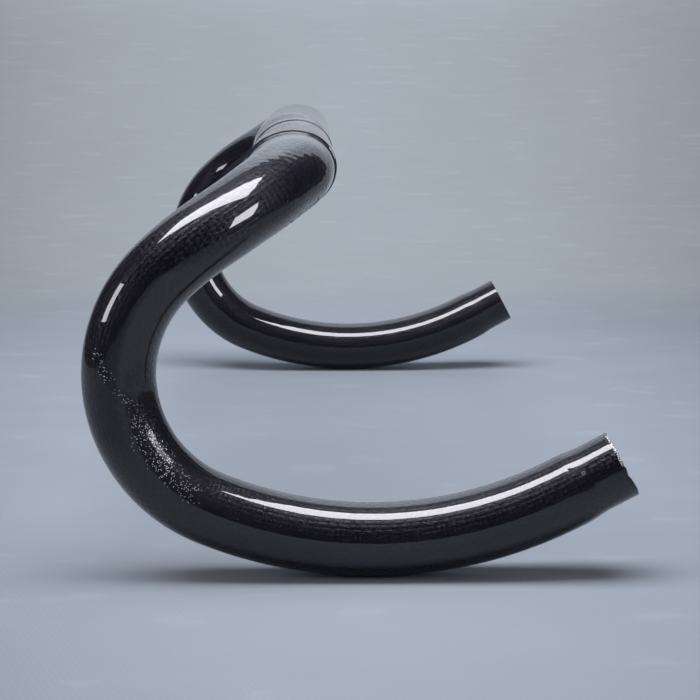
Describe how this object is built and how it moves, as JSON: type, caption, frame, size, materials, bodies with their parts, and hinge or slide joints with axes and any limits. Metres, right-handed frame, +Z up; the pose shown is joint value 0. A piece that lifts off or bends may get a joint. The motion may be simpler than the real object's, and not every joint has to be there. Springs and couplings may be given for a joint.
{
  "type": "bicycle handlebar",
  "caption": "Road drop handlebar moulded in carbon fibre: clamp zone, oval-section tops, tight shoulder bends, and curved drops with open ends.",
  "frame": {"origin": "centre of the stem clamp zone, on the bar's axis", "axes": "+Y along the tops, towards the rider's right; +Z up as the bar stands on its drops; -X forward, where the hooks reach"},
  "size_m": [0.1768, 0.444, 0.1412],
  "materials": {
    "lacquered_carbon": "gloss clear lacquer over black carbon fibre"
  },
  "bodies": {
    "root": {"handlebar": "lacquered_carbon"}
  },
  "joints": []
}
